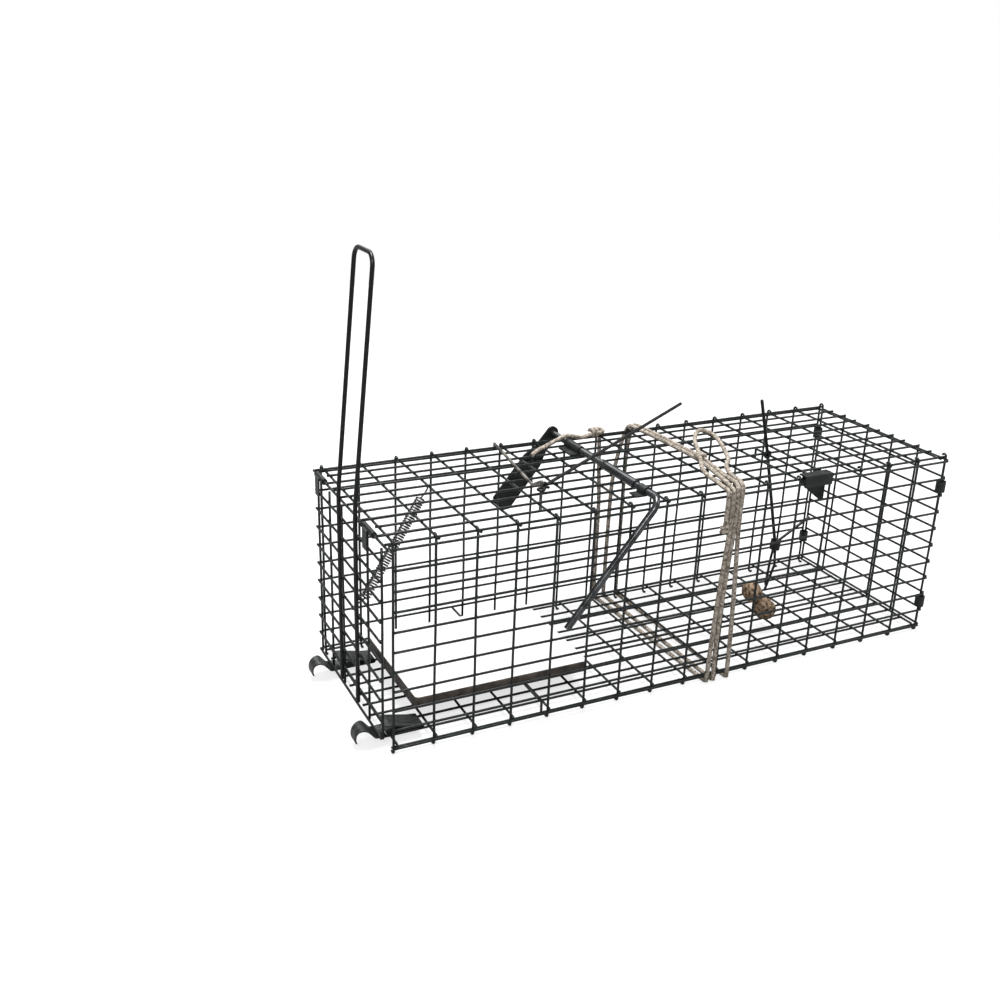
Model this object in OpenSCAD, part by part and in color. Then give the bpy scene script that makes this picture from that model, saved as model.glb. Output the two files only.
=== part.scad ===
// Live catch trap: a welded-mesh cage with a top-hung, spring-shut door. A long loop on the door
// folds back over the roof when the door is lifted, and a hold-down rod hooked behind the bait
// lever keeps it there. X runs from the door to the rear, Y across, Z up; the trap stands on Z = 0.

/* [Cage] */
// Length between the first and last side uprights
cage_l = 406.4; // [304.8:25.4:609.6]
// Width between the edge wires
cage_w = 127; // [127:12.7:152.4]
// Height between the lowest and highest side rails
cage_h = 127; // [127:12.7:152.4]
// Spacing of the uprights and cross wires
pitch_l = 25.4; // [25.4:12.7:38.1]
// Spacing of the rails and lengthwise wires
pitch_h = 12.7; // [12.7:12.7:25.4]
// Diameter of the mesh wire
wire_d = 1.6; // [1.4:0.1:1.8]

/* [Door] */
// Width of the door between its outer bars
door_w = 116; // [100:1:118]
// Diameter of the setting loop's wire
loop_d = 2.6; // [2.2:0.1:3]
// Height of the setting loop above the roof
loop_rise = 152; // [120:1:156]
// Width of the setting loop between its legs
loop_w = 30; // [26:1:30]

/* [Latches] */
// Width of the spring strip
strip_w = 13; // [10:0.5:14]
// Thickness of the spring strip
strip_t = 0.9; // [0.7:0.1:1]

/* [Treadle] */
// Length of the treadle plate
treadle_l = 120; // [100:1:122]
// Width of the treadle plate
treadle_w = 88; // [70:1:96]

/* [Crank rod] */
// Diameter of the cranked rod
crank_d = 4.4; // [4:0.1:5]
// Length of the rod's free arm
crank_arm = 96; // [80:1:100]

/* [Trigger] */
// Length of the hold-down rod
trigger_l = 162; // [150:1:175]
// Diameter of the hold-down rod
trigger_d = 2.2; // [2:0.1:2.6]
// Diameter of the bait lever's wire
lever_d = 2.2; // [2:0.1:2.6]

/* [Hidden] */

wire_r = wire_d / 2;
layer = wire_d - 0.2;             // welded wires sink 0.2 into each other
air = 0.4;                        // clearance between pieces that move past each other
run = 0.06;                       // radial clearance of a wire turning in its eye
steps_l = round(cage_l / pitch_l);
steps_h = round(cage_h / pitch_h);
steps_w = round(cage_w / pitch_h);
latch_reach = 19.5;               // finger in front of the first upright
rear_reach = 3.9;                 // rear mesh behind the last upright
front_x = (latch_reach - rear_reach - cage_l) / 2;
rear_x = front_x + cage_l;
hook_r = wire_r * 2 + 0.05;       // an upright's end curls round its edge wire at this radius
hook_slack = 1.4;
floor_z = hook_r + wire_r + hook_slack;
hook_low = floor_z - hook_slack;
rail_z0 = floor_z + 0.75;
roof_z = rail_z0 + cage_h + 2.5;
roof_top = roof_z + wire_r;
hook_high = roof_z + 0.6;
edge_y = cage_w / 2;
post_y = edge_y + hook_r;
rail_y = post_y + layer;
side_y = rail_y + wire_r;         // outer face of each side
cross_shift = 2.6;                // cross wires stand beside the uprights, not in line with them

hinge_x = front_x - 4;
hinge_z = roof_z - layer;
sleeve_r = 2;
sleeve_near = [-46, -28.5];
sleeve_far = [44.5, 60];
door_rail_z0 = 8.6;
door_rail_x = hinge_x - layer;
loop_x = door_rail_x - wire_r - loop_d / 2 - 0.3;
loop_y = -10;
loop_lean = 5;

latch_near_y = -48;
latch_far_y = 37;
leaf_z = floor_z + layer + wire_r + strip_t / 2 + 0.05;
leaf_split_x = front_x - 0.6;
leaf_back_x = front_x + 22;

treadle_x = front_x + 22;
treadle_top = 21.2;
treadle_lip = 7.5;
treadle_pivot_x = front_x + 95;
treadle_pivot_z = 15.2;

crank_x = front_x + 169.3;
crank_bore = crank_d / 2 + run;
crank_tube_r = 3;
saddle_t = 0.7;
crank_z = roof_top + crank_tube_r + 0.1;
crank_angle = 38.7;               // the arm hangs this far forward of straight down
crank_bend = 8;
crank_arm_y = -(side_y + crank_d / 2 + air);
crank_far_y = side_y + air;

link_x = front_x + 109.5;
link_y = -29;
link_z = roof_top + 3.5;
link_pin_y = 2.3;                 // the rod's eye sits this far to one side of the link
link_arm = 6;
trigger_turn = 25.5;              // the rod lies this far round from the cage's length
trigger_rise = 6.5;

lever_y = -1.5 * pitch_h;
lever_x = front_x + 289;
lever_z = roof_top + wire_r + 0.05;
lever_top = [front_x + 278.6, lever_y, 175.3];
lever_foot = [front_x + 305.5, lever_y, 67.2];
lever_spur = [front_x + 333.6, lever_y, 83];

rope_d = 3;
rope_out = side_y + rope_d / 2 + 0.15;
rope_up = roof_top + rope_d / 2 + 0.2;
rope_low = 1.53;
// the cord's route: its tail on the roof, three turns round the cage and the hanging end
rope_route = [
    [-59, 35, rope_up], [-51, 42, rope_up], [-41, 47.5, rope_up + 0.5], [-33, 48, rope_up + 3.5],
    [-26, 48, 142.2], [-18, 49, rope_up + 3.5], [-11, 53, rope_up + 1], [-4, 56, rope_up + 1],
    [2, 58, rope_up + 1], [7, 58.2, rope_up + 1], [10.8, 61.5, rope_up + 0.5],
    [12.4, 66.5, rope_up], [13, rope_out, 133.5], [14, rope_out, 110], [16, rope_out, 80],
    [16.5, rope_out, 40], [17, rope_out, 4.2], [18, rope_out - 0.7, 2.6],
    [18, rope_out - 2.1, rope_low + 0.1], [18.5, 63, rope_low], [20, 30, rope_low],
    [22, -30, rope_low], [23, -63, rope_low], [23.2, 2.1 - rope_out, rope_low + 0.1],
    [23.2, 0.7 - rope_out, 2.6], [23.2, -rope_out, 4.2], [24, -rope_out, 30], [26, -rope_out, 70],
    [28.6, -rope_out, 110], [28.6, -rope_out, 133.5], [29, -66.5, rope_up],
    [31, -60, rope_up + 0.2], [36, -40, rope_up], [40, -20, rope_up], [41.3, 0, rope_up],
    [40.5, 30, rope_up], [38.5, 58, rope_up], [37.5, 66.5, rope_up], [35.5, rope_out, 133.5],
    [31, rope_out, 120], [26.5, rope_out, 95], [25.5, rope_out, 50], [25.5, rope_out, 4.2],
    [26, rope_out - 0.7, 2.6], [26, rope_out - 2.1, rope_low + 0.1], [26, 63, rope_low],
    [27, 30, rope_low], [28, -30, rope_low], [28.5, -63, rope_low],
    [28.5, 2.1 - rope_out, rope_low + 0.1], [28.5, 0.7 - rope_out, 2.6], [28.5, -rope_out, 4.2],
    [28, -rope_out, 30], [29.5, -rope_out, 70], [31.9, -rope_out, 110], [32, -rope_out, 133.5],
    [32.4, -67.8, 137.4], [33.2, -64, 139.2], [35, -59, 138.4], [38.5, -45, rope_up + 0.4],
    [43, -25, rope_up], [45.2, -5, rope_up], [45, 27, rope_up], [43, 57, rope_up],
    [42, 66.5, rope_up], [40, rope_out, 133.5], [37, rope_out, 115], [36.5, rope_out, 80],
    [36.5, rope_out, 40], [36.5, rope_out, 4.2], [37, rope_out - 0.7, 2.6],
    [37, rope_out - 2.1, rope_low + 0.1], [37, 63, rope_low], [38, 30, rope_low],
    [39, -30, rope_low], [39.4, -63, rope_low], [39.4, 2.1 - rope_out, rope_low + 0.1],
    [39.4, 0.7 - rope_out, 2.6], [39.4, -rope_out, 4.2], [39, -rope_out, 30], [37.5, -rope_out, 70],
    [35.4, -rope_out, 110], [35.5, -rope_out, 133.5], [36.3, -67.8, 137], [37.6, -64, 138.4],
    [39.8, -59, 138], [43.5, -45, rope_up + 0.4], [49.5, -32, rope_up + 1],
    [57, -24, rope_up + 1.5], [64, -10, rope_up + 3], [69, 4, rope_up + 5],
    [70.3, 14, rope_up + 6.5], [67.5, 21, rope_up + 7.3], [60.5, 18.5, rope_up + 7.3],
    [52, 8, rope_up + 5.5], [46, -4, rope_up + 4], [41, -13, rope_up + 3.7],
    [36, -22, rope_up + 3.2], [31, -31, rope_up + 1.5], [28.5, -40, rope_up + 0.3],
    [27.3, -52, rope_up], [25.4, -62, rope_up], [25, -66.5, rope_up], [25, -rope_out, 133.5],
    [25, -rope_out, 123], [25, -rope_out, 113]
];

function post_x(k) = front_x + pitch_l * k;
function cross_x(k) = post_x(k) + (k < steps_l ? cross_shift : -cross_shift);
function rail_z(j) = rail_z0 + pitch_h * j;
function long_y(j) = -edge_y + pitch_h * j;
function in_span(y, span) = y > span[0] - 2 && y < span[1] + 2;
function unit(v) = v / norm(v);
// direction at angle a from +X towards +Z, in the XZ plane
function xz(a, r) = [r * cos(a), r * sin(a)];
function arc(c, r, a0, a1, n) = [for (i = [0:n]) c + xz(a0 + (a1 - a0) * i / n, r)];

// straight round bar between two points
module bar(p, q, d, sides = 20) {
    v = q - p;
    translate(p)
        rotate([0, acos(v[2] / norm(v)), atan2(v[1], v[0])])
            cylinder(d = d, h = norm(v), $fn = sides);
}

// ball that joins two lengths of one wire, a hair thicker than the wire
module bead(c, d) {
    translate(c) sphere(d = d * 1.03, $fn = 24);
}

// how far two bars stop short of a shallow bend so that they only meet in its bead
function bend_gap(a, b, c, d) =
    let (turn = acos(unit(b - a) * unit(c - b)))
    turn < 25 ? d / 2 * tan(turn / 2) + 0.02 : 0;

// round bars through a list of points, with a bead at each bend
module wire(points, d) {
    n = len(points) - 1;
    for (i = [0:n - 1]) {
        v = unit(points[i + 1] - points[i]);
        g0 = i == 0 ? 0 : bend_gap(points[i - 1], points[i], points[i + 1], d);
        g1 = i == n - 1 ? 0 : bend_gap(points[i], points[i + 1], points[i + 2], d);
        bar(points[i] + v * g0, points[i + 1] - v * g1, d);
    }
    for (i = [1:n - 1]) bead(points[i], d);
}

// part of a ring about Y, from angle a0 to a1 in the XZ plane
module bend_y(c, r, d, a0, a1) {
    translate(c)
        rotate([90, 0, 0])
            rotate([0, 0, a0])
                rotate_extrude(angle = a1 - a0, $fn = 48)
                    translate([r, 0]) circle(d = d, $fn = 20);
}

// part of a ring about X, from angle a0 to a1 in the YZ plane
module bend_x(c, r, d, a0, a1) {
    translate(c)
        rotate([90, 0, 90])
            rotate([0, 0, a0])
                rotate_extrude(angle = a1 - a0, $fn = 48)
                    translate([r, 0]) circle(d = d, $fn = 20);
}

// closed wire eye about an axis: "x", "y" or "z"
module eye(c, d, hole) {
    translate(c)
        rotate_extrude($fn = 48)
            translate([hole + d / 2, 0]) circle(d = d, $fn = 20);
}

// outline of a strip of thickness t along a line of points
module strip_outline(line, t) {
    n = len(line) - 1;
    side = [for (i = [0:n])
        let (a = line[max(i - 1, 0)], b = line[min(i + 1, n)], u = unit(b - a)) [-u[1], u[0]] * t / 2];
    polygon(concat([for (i = [0:n]) line[i] + side[i]], [for (i = [n:-1:0]) line[i] - side[i]]));
}

// extrude an XZ outline along Y, centred on y
module across(y, w) {
    translate([0, y + w / 2, 0])
        rotate([90, 0, 0])
            linear_extrude(w) children();
}

module side_mesh(s) {
    for (k = [0:steps_l]) {
        bar([post_x(k), s * post_y, hook_low + 0.05], [post_x(k), s * post_y, hook_high - 0.05],
            wire_d);
        for (end = [[hook_low, 180, 345], [hook_high, 20, 180]]) {
            mirror([0, s > 0 ? 1 : 0, 0])
                bend_x([post_x(k), -edge_y, end[0]], hook_r, wire_d, end[1], end[2]);
            bead([post_x(k), s * post_y, end[0]], wire_d);
        }
    }
    for (j = [0:steps_h])
        bar([front_x - wire_r, s * rail_y, rail_z(j)], [rear_x + wire_r, s * rail_y, rail_z(j)], wire_d);
}

module side_mesh_near() { color("darkslategray") side_mesh(-1); }
module side_mesh_far() { color("darkslategray") side_mesh(1); }

module roof_mesh() {
    color("darkslategray") {
        for (j = [0:steps_w])
            bar([in_span(long_y(j), sleeve_near) || in_span(long_y(j), sleeve_far)
                    ? hinge_x + sleeve_r + 2 * wire_r : hinge_x - 0.3, long_y(j), roof_z],
                [rear_x + 0.8, long_y(j), roof_z], wire_d);
        for (k = [0:steps_l])
            bar([cross_x(k), -edge_y, roof_z - layer], [cross_x(k), edge_y, roof_z - layer], wire_d);
    }
}

module floor_mesh() {
    color("darkslategray") {
        for (j = [0:steps_w])
            bar([front_x - 0.8, long_y(j), floor_z], [rear_x + 0.8, long_y(j), floor_z], wire_d);
        for (k = [0:steps_l])
            bar([cross_x(k), -edge_y, floor_z + layer], [cross_x(k), edge_y, floor_z + layer], wire_d);
    }
}

module rear_mesh() {
    rear_post_x = rear_x + 2 * wire_r + 0.1;
    color("darkslategray") {
        for (i = [0:5])
            bar([rear_post_x, -edge_y + i * cage_w / 5, floor_z - wire_r],
                [rear_post_x, -edge_y + i * cage_w / 5, roof_z + wire_r], wire_d);
        for (j = [0:steps_h])
            bar([rear_post_x + layer, -edge_y - wire_r, rail_z(j)],
                [rear_post_x + layer, edge_y + wire_r, rail_z(j)], wire_d);
    }
}

// sheet clips pinched round the rear corner uprights
module corner_clips() {
    clip_h = 8;
    color("dimgray")
        for (s = [-1, 1])
            for (z = [1.5, 8.5])
                translate([rear_x + wire_r + 0.05, s * (post_y - hook_r / 2), rail_z(z) - clip_h / 2])
                    linear_extrude(clip_h)
                        difference() {
                            rounded_box(6.0, 6.0, 2.2);
                            rounded_box(4.4, 4.4, 1.6);
                        }
}

// rounded rectangle made of a cross and four circles
module rounded_box(w, h, r) {
    square([w - 2 * r, h], center = true);
    square([w, h - 2 * r], center = true);
    for (x = [-1, 1])
        for (y = [-1, 1])
            translate([x * (w / 2 - r), y * (h / 2 - r)]) circle(r = r, $fn = 24);
}

module hinge_wire() {
    color("darkslategray")
        bar([hinge_x, -edge_y - 4, hinge_z], [hinge_x, edge_y + 4, hinge_z], wire_d);
}

// folded plate on the near top edge, with a triangular gusset hanging inside the side
module lever_bracket() {
    x0 = post_x(11) + wire_r + 1;
    x1 = post_x(12) - wire_r - 0.5;
    gusset_x = cross_x(11) + wire_r + 1;
    gusset_y = -edge_y + wire_r + 0.4;
    top = lever_z + wire_r + 0.1;
    sheet = 0.8;
    drop = 20;
    color("dimgray") {
        translate([x0, -side_y - air - sheet, top])
            cube([x1 - x0, side_y + air + sheet + gusset_y + sheet, sheet]);
        translate([x0, -side_y - air - sheet, top - 7]) cube([x1 - x0, sheet, 7.4]);
        difference() {
            translate([gusset_x, gusset_y + sheet, top - drop])
                rotate([90, 0, 0])
                    linear_extrude(sheet)
                        polygon([[0, drop - 7], [0, drop + 0.4], [x1 - gusset_x, drop + 0.4],
                            [x1 - gusset_x, 0], [x1 - gusset_x - 3, 0]]);
            translate([lever_x, gusset_y + 2, lever_z])
                rotate([90, 0, 0]) cylinder(r = wire_r + run, h = 4, $fn = 32);
        }
    }
}

module door_mesh() {
    door_rails = steps_h - 1;
    color("darkslategray") {
        for (i = [0:5])
            bar([hinge_x, -door_w / 2 + i * door_w / 5, door_rail_z0 - wire_r],
                [hinge_x, -door_w / 2 + i * door_w / 5, hinge_z - sleeve_r - 0.9], wire_d);
        for (j = [0:door_rails])
            bar([door_rail_x, -door_w / 2 - wire_r, door_rail_z0 + pitch_h * j],
                [door_rail_x, door_w / 2 + wire_r, door_rail_z0 + pitch_h * j], wire_d);
    }
}

// sheet sleeve that turns on the hinge wire, with a flap pinched over the door's top rail
module hinge_sleeve(span) {
    len_y = span[1] - span[0];
    flap_x = door_rail_x - wire_r - 0.65;
    flap_h = 11.5;
    flap_w = 7;
    mid = (span[0] + span[1]) / 2;
    color("silver")
        difference() {
            union() {
                translate([hinge_x, span[1], hinge_z])
                    rotate([90, 0, 0]) cylinder(r = sleeve_r, h = len_y, $fn = 40);
                translate([flap_x, mid - flap_w / 2, hinge_z - flap_h])
                    cube([0.8, flap_w, flap_h + 1]);
                translate([flap_x + 0.4, mid - flap_w / 2 + 0.3, hinge_z - 0.8])
                    cube([1.6, flap_w - 0.6, 1.6]);
            }
            translate([hinge_x, span[1] + 1, hinge_z])
                rotate([90, 0, 0]) cylinder(r = wire_r + run, h = len_y + 2, $fn = 40);
        }
}

module hinge_sleeve_near() { hinge_sleeve(sleeve_near); }
module hinge_sleeve_far() { hinge_sleeve(sleeve_far); }

// tall loop of thick wire on the front of the door, leaning back above the hinge
module setting_loop() {
    knee_z = hinge_z + 8;
    corner = 7;
    rise = loop_rise - 8 - corner;
    // points of the leaning part, u across and v up along it
    function lean(u, v) =
        [loop_x + v * sin(loop_lean), loop_y + u, knee_z + v * cos(loop_lean)];
    function side(s) = concat(
        [[loop_x, loop_y + s * loop_w / 2, 15], lean(s * loop_w / 2, 0)],
        [for (a = [0:22.5:90])
            lean(s * (loop_w / 2 - corner + corner * cos(a)), rise + corner * sin(a))]);
    near = side(-1);
    far = side(1);
    color("black")
        wire(concat(near, [for (i = [len(far) - 1:-1:0]) far[i]]), loop_d);
}

// outline of the door spring: a coil body with a straight end hook each way
module door_spring() {
    low = [hinge_x + 3.2, -11, door_rail_z0 + pitch_h * 5];
    high = [cross_x(2) - 3.4, 13, roof_z - layer - 3.2];
    along = unit(high - low);
    color("dimgray") {
        bar(low, low + along * 6, 1.4);
        bar(low + along * 5, high - along * 6, 6.5);
        bar(high - along * 7, high, 1.4);
    }
}

// fixed half of a latch: the strip folded back on itself over the floor mesh
module latch_clip(y) {
    fold = 1.05;
    line = concat(
        [[leaf_split_x + strip_t, leaf_z], [leaf_back_x, leaf_z]],
        arc([leaf_back_x, leaf_z + fold], fold, -60, 90, 8),
        [[leaf_back_x - 6, leaf_z + 2 * fold + 0.8], [front_x + 2, leaf_z + 6.2],
         [front_x - 2, leaf_z + 6.6]]);
    color("dimgray")
        across(y, strip_w) strip_outline(line, strip_t);
}

module latch_clip_near() { latch_clip(latch_near_y); }
module latch_clip_far() { latch_clip(latch_far_y); }

// sprung half of a latch: under the door's bottom rail, up over the crest and down to the tip
module latch_finger(y) {
    crest = [front_x - 14.2, leaf_z + 1.4];
    line = concat(
        [[leaf_split_x, leaf_z], [front_x - 6, leaf_z]],
        arc([front_x - 6, leaf_z + 2.3], 2.3, -115, -150, 4),
        arc(crest, 4.6, 32, 180, 14),
        [crest - [4.7, 1.3], crest - [4.5, 2.6], crest - [4.1, 3.8]]);
    color("dimgray")
        intersection() {
            union() {
                across(y, strip_w + 1) strip_outline(line, strip_t);
                translate([leaf_split_x, y + strip_w / 2 + 1, leaf_z])
                    rotate([90, 0, 0]) cylinder(r = strip_t * 0.53, h = strip_w + 2, $fn = 32);
            }
            linear_extrude(20)
                polygon([[front_x, y - strip_w / 2], [front_x, y + strip_w / 2],
                    [front_x - 12, y + strip_w / 2], [front_x - 19.5, y + 4], [front_x - 19.5, y - 4],
                    [front_x - 12, y - strip_w / 2]]);
        }
}

module latch_finger_near() { latch_finger(latch_near_y); }
module latch_finger_far() { latch_finger(latch_far_y); }

// shallow tray turned down on all four edges, with pivot holes in its side lips
module treadle_plate() {
    sheet = 1;
    color("white")
        difference() {
            translate([treadle_x, -treadle_w / 2, treadle_top - treadle_lip])
                cube([treadle_l, treadle_w, treadle_lip]);
            translate([treadle_x + sheet, -treadle_w / 2 + sheet, treadle_top - treadle_lip - 1])
                cube([treadle_l - 2 * sheet, treadle_w - 2 * sheet, treadle_lip + 1 - sheet]);
            translate([treadle_pivot_x, treadle_w / 2 + 1, treadle_pivot_z])
                rotate([90, 0, 0]) cylinder(r = wire_r + run, h = treadle_w + 2, $fn = 32);
        }
}

module treadle_pivot() {
    end_y = side_y + 1.6;
    color("darkslategray")
        wire([[treadle_pivot_x, -end_y, treadle_pivot_z - 7], [treadle_pivot_x, -end_y, treadle_pivot_z],
            [treadle_pivot_x, side_y + 0.6, treadle_pivot_z]], wire_d);
}

// rod across the roof, bent down outside the near side
module crank_rod() {
    color("gray") {
        bar([crank_x, crank_arm_y + crank_bend + 0.05, crank_z],
            [crank_x, crank_far_y + 4.4, crank_z], crank_d);
        bead([crank_x, crank_arm_y + crank_bend, crank_z], crank_d);
        translate([crank_x, 0, crank_z])
            rotate([0, crank_angle, 0]) {
                bend_x([0, crank_arm_y + crank_bend, -crank_bend], crank_bend, crank_d, 90, 180);
                bead([0, crank_arm_y, -crank_bend], crank_d);
                bar([0, crank_arm_y, -crank_arm], [0, crank_arm_y, -crank_bend - 0.05], crank_d);
            }
    }
}

// flat arm pressed on the rod's far end
module crank_strap() {
    strap_l = 64;
    strap_t = 1.5;
    color("black")
        translate([crank_x, crank_far_y + 0.3 + strap_t, crank_z])
            rotate([90, crank_angle, 0])
                difference() {
                    union() {
                        cylinder(r = 4.6, h = strap_t, $fn = 40);
                        linear_extrude(strap_t)
                            polygon([[-4.5, 0], [-5, -14], [-8, -24], [-8, 3 - strap_l],
                                [-5, -strap_l], [5, -strap_l], [8, 3 - strap_l], [8, -24],
                                [5, -14], [4.5, 0]]);
                    }
                    translate([0, 0, -1]) cylinder(r = crank_bore, h = strap_t + 2, $fn = 40);
                }
}

module crank_tube() {
    color("gray")
        difference() {
            translate([crank_x, 0, crank_z])
                rotate([90, 0, 0]) cylinder(r = crank_tube_r, h = 42, $fn = 48);
            translate([crank_x, 1, crank_z])
                rotate([90, 0, 0]) cylinder(r = crank_bore, h = 44, $fn = 48);
        }
}

// sheet saddle over the rod, with feet on the roof wires
module crank_saddle(y, w) {
    foot = crank_z - roof_top - 0.1;
    color("black")
        translate([crank_x, y + w / 2, crank_z])
            rotate([90, 0, 0])
                linear_extrude(w)
                    difference() {
                        union() {
                            circle(r = crank_bore + saddle_t, $fn = 48);
                            translate([-8, -foot]) square([16, 1]);
                            translate([-crank_bore - saddle_t, -foot])
                                square([2 * (crank_bore + saddle_t), foot]);
                        }
                        circle(r = crank_bore, $fn = 48);
                    }
}

module crank_saddle_near() { crank_saddle(-51, 8); }
module crank_saddle_far() { crank_saddle(35.5, 17); }

// wire bracket laid on the roof, its near end turned down as the link's post
module trigger_bracket() {
    d = 2;
    z = roof_top + d / 2 + 0.05;
    leg_x = front_x + 123.5;
    leg_y = rail_y - 0.2;
    color("lightgray")
        wire([[leg_x, leg_y, z - 3.2], [leg_x, leg_y, z],
            [link_x + 2, link_y + 15, z], [link_x, link_y, z + 7.6], [link_x, link_y, z - 12]], d);
}

// short swivelling link: an eye on the post and a cross pin for the rod
module trigger_link() {
    d = 1.8;
    color("dimgray")
        translate([link_x, link_y, link_z])
            rotate([0, 0, trigger_turn]) {
                eye([0, 0, 0], d, 1 + run);
                bar([2.4, 0, 0], [link_arm, 0, 0], d);
                bar([link_arm, -1.5, 0], [link_arm, link_pin_y + 1.9, 0], d);
            }
}

// long hold-down rod with an eye on the link's pin
module trigger_rod() {
    color("black")
        translate([link_x, link_y, link_z])
            rotate([0, 0, trigger_turn])
                translate([link_arm, link_pin_y, 0])
                    rotate([0, -trigger_rise, 0]) {
                        rotate([90, 0, 0]) eye([0, 0, 0], 2, 0.9 + run);
                        bar([2.0, 0, 0], [8, 0, 0], 2);
                        bar([7, 0, 0], [trigger_l, 0, 0], trigger_d);
                    }
}

module lever_pivot() {
    color("darkslategray")
        wire([[lever_x, -side_y + 2, lever_z], [lever_x, -pitch_h * 0.5, lever_z],
            [lever_x, -pitch_h * 0.5, lever_z - 7]], wire_d);
}

// bait lever: an eye on its pivot wire, a top end above the roof and a foot inside the cage
module bait_lever() {
    hub = [lever_x, lever_y, lever_z];
    up = unit(lever_top - hub);
    down = unit(lever_foot - hub);
    color("black") {
        translate(hub) rotate([90, 0, 0]) eye([0, 0, 0], lever_d, wire_r + run);
        bar(hub + up * 2.6, lever_top, lever_d);
        bar(hub + down * 2.6, lever_foot, lever_d);
        translate(lever_foot) sphere(d = lever_d, $fn = 24);
        bar(lever_foot, lever_spur, 2);
    }
}

module bait_crimp() {
    color("black")
        translate(lever_foot + [0, 0, -4.5])
            rotate([0, 6, 0]) cylinder(r = 3.6, h = 7, $fn = 40);
}

// two-pronged wire that carries the bait
module bait_hook() {
    foot = lever_foot;
    color("black")
        for (s = [-1, 1])
            wire([foot + [s * 1.2, s * 2, -3], foot + [s * 2.2, s * 5, -14],
                foot + [s * 3 - 4, s * 3.4, -34]], 1.8);
}

// peanut in its shell, two lobes
module bait_peanut() {
    x = front_x + 296;
    y = lever_y;
    color("peru") {
        hull() {
            translate([x - 7, y, 33.5]) sphere(r = 7, $fn = 28);
            translate([x - 4, y, 29.5]) sphere(r = 6.8, $fn = 28);
        }
        hull() {
            translate([x + 4, y - 1, 19]) sphere(r = 7.5, $fn = 28);
            translate([x + 8, y - 1, 15.2]) sphere(r = 7.9, $fn = 28);
        }
        translate([x - 3, y - 0.5, 28.5])
            rotate([0, 136, 0]) cylinder(r = 2.6, h = 12, $fn = 24);
    }
}

function ring_frames(p, i, up) =
    let (n = len(p) - 1,
         t = unit(p[min(i + 1, n)] - p[max(i - 1, 0)]),
         u = unit(up - t * (up * t)))
    i == n ? [[u, cross(t, u)]] : concat([[u, cross(t, u)]], ring_frames(p, i + 1, u));

// tube of 8 sides swept along a route
module tube(route, d) {
    sides = 8;
    n = len(route);
    frames = ring_frames(route, 0, [0, 0, 1]);
    points = [for (i = [0:n - 1]) for (k = [0:sides - 1])
        route[i] + (frames[i][0] * cos(k * 45) + frames[i][1] * sin(k * 45)) * d / 2];
    walls = [for (i = [0:n - 2]) for (k = [0:sides - 1])
        [i * sides + k, i * sides + (k + 1) % sides, (i + 1) * sides + (k + 1) % sides, (i + 1) * sides + k]];
    caps = [[for (k = [sides - 1:-1:0]) k], [for (k = [0:sides - 1]) (n - 1) * sides + k]];
    polyhedron(concat(points), [for (f = concat(walls, caps)) [for (k = [len(f) - 1:-1:0]) f[k]]],
        convexity = 10);
}

module rope() { color("tan") tube(rope_route, rope_d); }

module rope_knot_roof() { color("tan") knot([2, 58, rope_up + 2], 4.2); }
module rope_knot_bow() { color("tan") knot([40, -15, rope_up + 3], 4); }
module rope_knot_end() { color("tan") knot([25, 0.6 - rope_out, 110.5], 3.4); }

// compact knot: three balls pressed together
module knot(c, r) {
    translate(c)
        for (a = [0, 120, 240])
            rotate([0, 0, a]) translate([r * 0.3, 0, 0]) sphere(r = r * 0.7, $fn = 32);
}

side_mesh_near();
side_mesh_far();
roof_mesh();
floor_mesh();
rear_mesh();
corner_clips();
hinge_wire();
lever_bracket();
door_mesh();
hinge_sleeve_near();
hinge_sleeve_far();
setting_loop();
door_spring();
latch_clip_near();
latch_clip_far();
latch_finger_near();
latch_finger_far();
treadle_plate();
treadle_pivot();
crank_rod();
crank_strap();
crank_tube();
crank_saddle_near();
crank_saddle_far();
trigger_bracket();
trigger_link();
trigger_rod();
lever_pivot();
bait_lever();
bait_crimp();
bait_hook();
bait_peanut();
rope();
rope_knot_roof();
rope_knot_bow();
rope_knot_end();
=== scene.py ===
import math
import random

import bpy
import numpy as np
from mathutils import Matrix, Vector


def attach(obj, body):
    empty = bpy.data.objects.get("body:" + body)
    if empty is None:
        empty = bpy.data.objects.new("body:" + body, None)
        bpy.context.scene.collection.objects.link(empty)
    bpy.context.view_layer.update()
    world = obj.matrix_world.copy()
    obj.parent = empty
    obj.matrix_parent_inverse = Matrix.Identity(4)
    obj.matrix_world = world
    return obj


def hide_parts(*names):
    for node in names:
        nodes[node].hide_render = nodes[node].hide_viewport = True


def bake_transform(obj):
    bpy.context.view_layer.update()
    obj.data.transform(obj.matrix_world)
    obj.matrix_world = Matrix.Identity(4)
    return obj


MM = 0.001
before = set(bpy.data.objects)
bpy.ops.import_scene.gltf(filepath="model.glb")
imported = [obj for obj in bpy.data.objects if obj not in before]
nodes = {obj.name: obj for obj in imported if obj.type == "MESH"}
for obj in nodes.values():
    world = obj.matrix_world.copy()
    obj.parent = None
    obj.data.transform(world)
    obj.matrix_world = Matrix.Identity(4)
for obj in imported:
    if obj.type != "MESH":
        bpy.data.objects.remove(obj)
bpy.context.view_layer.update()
rng = random.Random(7)

# ---------------------------------------------------------------- camera
CAM_POS = Vector((-393.98, -595.25, 383.1)) * MM
CAM_AZ = math.radians(-26.345)
CAM_EL = math.radians(21.399)
CAM_ROLL = math.radians(1.887)
CAM_LENS = 40.8
CAM_SENSOR = 36


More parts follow.
